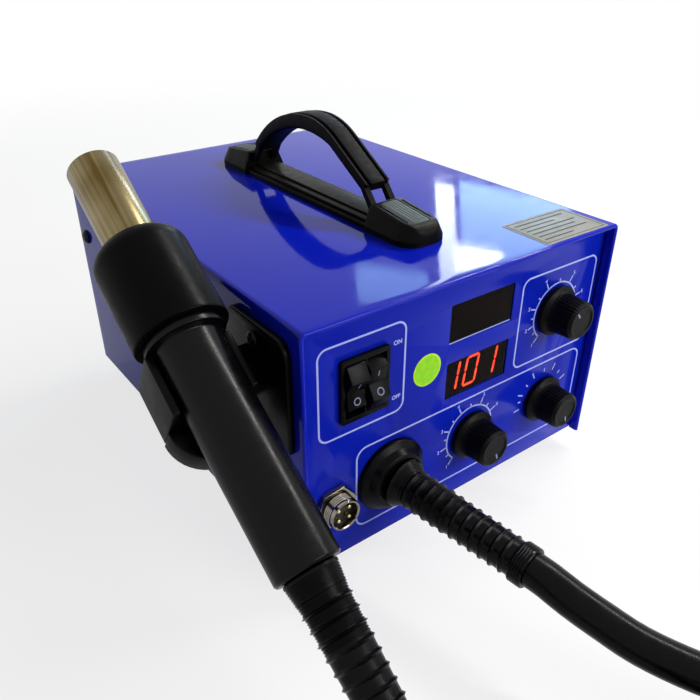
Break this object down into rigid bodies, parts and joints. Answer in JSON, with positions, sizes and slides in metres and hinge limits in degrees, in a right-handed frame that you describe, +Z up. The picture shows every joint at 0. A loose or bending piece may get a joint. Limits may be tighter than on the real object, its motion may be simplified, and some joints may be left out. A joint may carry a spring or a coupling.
{
  "type": "hot air rework station",
  "caption": "Bench hot air rework station: sheet metal case with carry handle, display and control panel, and a hot air gun lying in a side cradle on a flexible hose.",
  "frame": {"origin": "on the table plane, under the middle of the housing", "axes": "+Z up from the table, -Y out of the front panel, +X to the right as seen from the front"},
  "size_m": [0.2356, 0.56, 0.1819],
  "materials": {
    "enamel_blue": "gloss enamel",
    "screw_black": "blackened",
    "screw_zinc": "zinc plated",
    "foot_rubber": "matte",
    "handle_plastic": "satin moulded",
    "strap_vinyl": "semi-gloss vinyl",
    "insert_plastic": "matte moulded",
    "cradle_plastic": "satin moulded",
    "switch_plastic": "gloss moulded",
    "window_acrylic": "tinted clear",
    "module_plastic": "matte",
    "board_epoxy": "solder mask",
    "control_metal": "plain",
    "knob_plastic": "satin",
    "socket_chrome": "polished",
    "socket_plastic": "matte",
    "pin_brass": "bright",
    "hose_rubber": "satin",
    "gun_plastic": "satin moulded",
    "pipe_steel": "drawn, heat tinted",
    "mica": "matte",
    "ceramic": "unglazed",
    "heater_wire": "oxidised",
    "fuse_glass": "clear with metal caps",
    "core_steel": "varnished laminations",
    "winding_tape": "taped",
    "bracket_steel": "zinc plated",
    "pump_plastic": "matte",
    "tube_silicone": "translucent satin",
    "heat_sink": "black anodised"
  },
  "bodies": {
    "housing": {"cover": "enamel_blue", "base_tray": "enamel_blue", "front_panel": "enamel_blue", "rear_panel": "enamel_blue", "cover_screws": "screw_black", "feet_screws": "screw_zinc", "fixing_screws": "screw_zinc", "rubber_feet": "foot_rubber", "pump_feet": "foot_rubber", "pump_diaphragm": "foot_rubber", "handle_bar": "handle_plastic", "handle_end_caps": "handle_plastic", "handle_strap": "strap_vinyl", "handle_cap_inserts": "insert_plastic", "gun_cradle": "cradle_plastic", "hose_gland": "cradle_plastic", "gland_nut": "cradle_plastic", "switch_body": "switch_plastic", "mains_inlet": "switch_plastic", "display_windows": "window_acrylic", "display_modules": "module_plastic", "display_board": "board_epoxy", "main_board": "board_epoxy", "control_pots": "control_metal", "control_nuts": "control_metal", "socket_shell": "socket_chrome", "socket_nut": "socket_chrome", "socket_insert": "socket_plastic", "socket_pins": "pin_brass", "inlet_blades": "pin_brass", "hose_sleeve": "hose_rubber", "air_hose": "hose_rubber", "hose_coil": "hose_rubber", "transformer_core": "core_steel", "pump_magnet": "core_steel", "transformer_winding": "winding_tape", "pump_winding": "winding_tape", "transformer_bracket": "bracket_steel", "pump_frame": "bracket_steel", "pump_chamber": "pump_plastic", "air_tube": "tube_silicone", "heat_sink": "heat_sink"},
    "gun": {"gun_tail_sleeve": "hose_rubber", "gun_handle": "gun_plastic", "gun_collar": "gun_plastic", "gun_pipe": "pipe_steel", "heater_former": "ceramic", "heater_coil": "heater_wire", "heater_liner": "mica"},
    "heater_control": {"knob_heater": "knob_plastic", "shaft_heater": "control_metal"},
    "air_control": {"knob_air": "knob_plastic", "shaft_air": "control_metal"},
    "iron_control": {"knob_iron": "knob_plastic", "shaft_iron": "control_metal"},
    "left_rocker": {"rocker_left": "switch_plastic"},
    "right_rocker": {"rocker_right": "switch_plastic"},
    "pump_swing_arm": {"pump_arm": "bracket_steel"},
    "fuse_carrier": {"fuse_drawer": "switch_plastic", "fuse": "fuse_glass"}
  },
  "joints": [
    {"name": "gun_lift", "type": "slide", "parent": "housing", "child": "gun", "axis": [0, 0.8387, 0.5446], "range_m": [0, 0.06]},
    {"name": "heater_turn", "type": "hinge", "parent": "housing", "child": "heater_control", "pos_m": [0.0595, -0.117, 0.096], "axis": [0, -1, 0], "range_deg": [-140, 140]},
    {"name": "air_turn", "type": "hinge", "parent": "housing", "child": "air_control", "pos_m": [0.0075, -0.117, 0.0435], "axis": [0, -1, 0], "range_deg": [-140, 140]},
    {"name": "iron_turn", "type": "hinge", "parent": "housing", "child": "iron_control", "pos_m": [0.0595, -0.117, 0.0435], "axis": [0, -1, 0], "range_deg": [-140, 140]},
    {"name": "left_rocker_tilt", "type": "hinge", "parent": "housing", "child": "left_rocker", "pos_m": [-0.0655, -0.117, 0.0988], "axis": [1, 0, 0], "range_deg": [-20, 0]},
    {"name": "right_rocker_tilt", "type": "hinge", "parent": "housing", "child": "right_rocker", "pos_m": [-0.0545, -0.117, 0.0988], "axis": [1, 0, 0], "range_deg": [0, 20]},
    {"name": "pump_swing", "type": "hinge", "parent": "housing", "child": "pump_swing_arm", "pos_m": [0.044, 0.0265, 0.0667], "axis": [1, 0, 0], "range_deg": [-1, 1], "stiffness_Nm_per_rad": 0.5},
    {"name": "fuse_pull", "type": "slide", "parent": "housing", "child": "fuse_carrier", "axis": [0, 1, 0], "range_m": [0, 0.015]}
  ]
}
